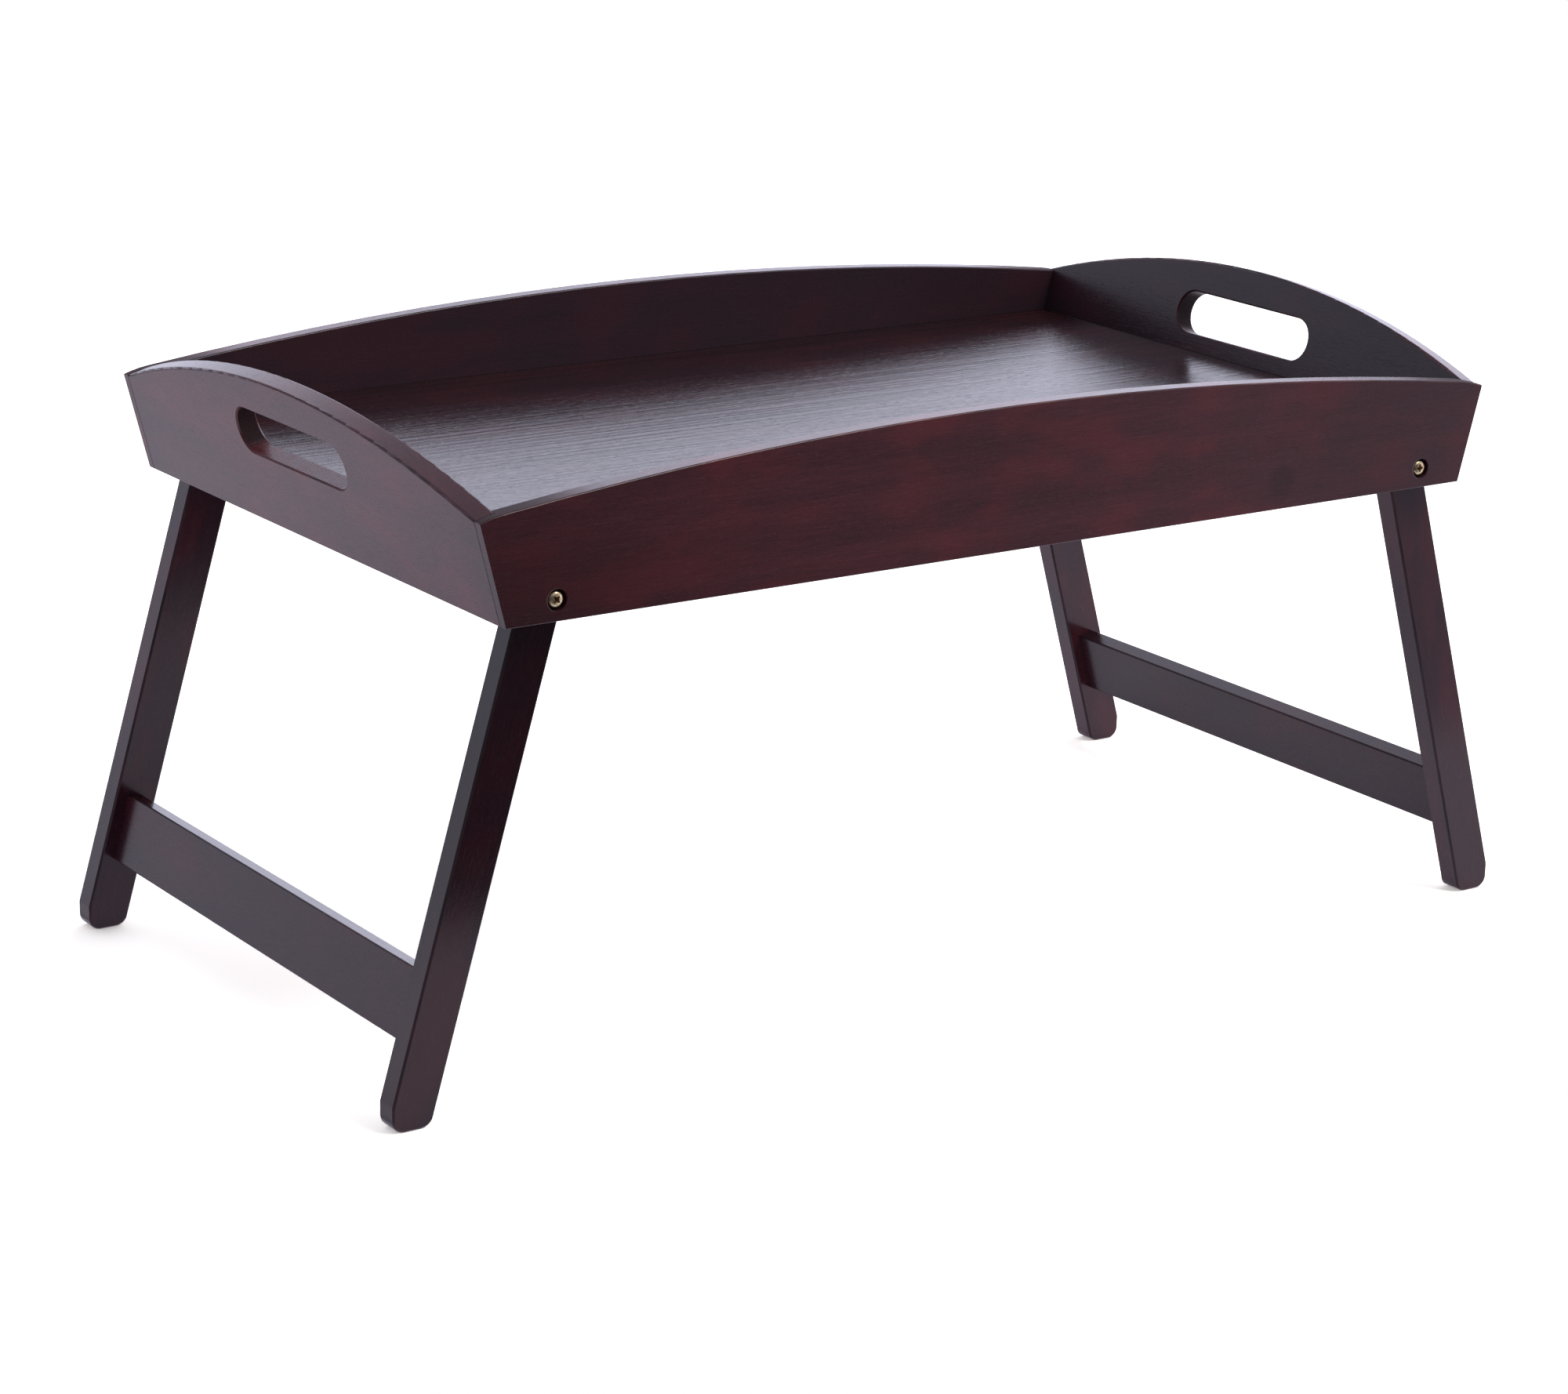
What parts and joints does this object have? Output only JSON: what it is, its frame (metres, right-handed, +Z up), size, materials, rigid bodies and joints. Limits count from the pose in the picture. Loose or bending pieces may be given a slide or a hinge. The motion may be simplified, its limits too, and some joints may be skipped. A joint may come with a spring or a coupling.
{
  "type": "bed tray table",
  "caption": "Wooden bed tray with arched rims and hand holes in its leaning end boards, standing on splayed leg frames that fold flat underneath.",
  "frame": {"origin": "on the floor, under the middle of the tray, with the legs open", "axes": "+X along the tray's long side, -Y towards the front board, +Z up"},
  "size_m": [0.6788, 0.363, 0.3165],
  "materials": {
    "board_wood": "dark espresso stain under satin lacquer",
    "panel_wood": "dark espresso stain under glossy lacquer",
    "leg_wood": "dark espresso stain under satin lacquer",
    "screw_brass": "polished",
    "washer_steel": "plain"
  },
  "bodies": {
    "tray": {"front_board": "board_wood", "back_board": "board_wood", "left_handle_board": "board_wood", "right_handle_board": "board_wood", "bottom_panel": "panel_wood"},
    "left_leg_frame": {"front_left_leg": "leg_wood", "back_left_leg": "leg_wood", "left_stretcher": "leg_wood", "front_left_screw": "screw_brass", "back_left_screw": "screw_brass", "front_left_washer": "washer_steel", "back_left_washer": "washer_steel"},
    "right_leg_frame": {"front_right_leg": "leg_wood", "back_right_leg": "leg_wood", "right_stretcher": "leg_wood", "front_right_screw": "screw_brass", "back_right_screw": "screw_brass", "front_right_washer": "washer_steel", "back_right_washer": "washer_steel"}
  },
  "joints": [
    {"name": "left_leg_fold", "type": "hinge", "parent": "tray", "child": "left_leg_frame", "pos_m": [-0.26014, 0, 0.2465], "axis": [0, -1, 0], "range_deg": [0, 106]},
    {"name": "right_leg_fold", "type": "hinge", "parent": "tray", "child": "right_leg_frame", "pos_m": [0.26014, 0, 0.2465], "axis": [0, 1, 0], "range_deg": [0, 106]}
  ]
}
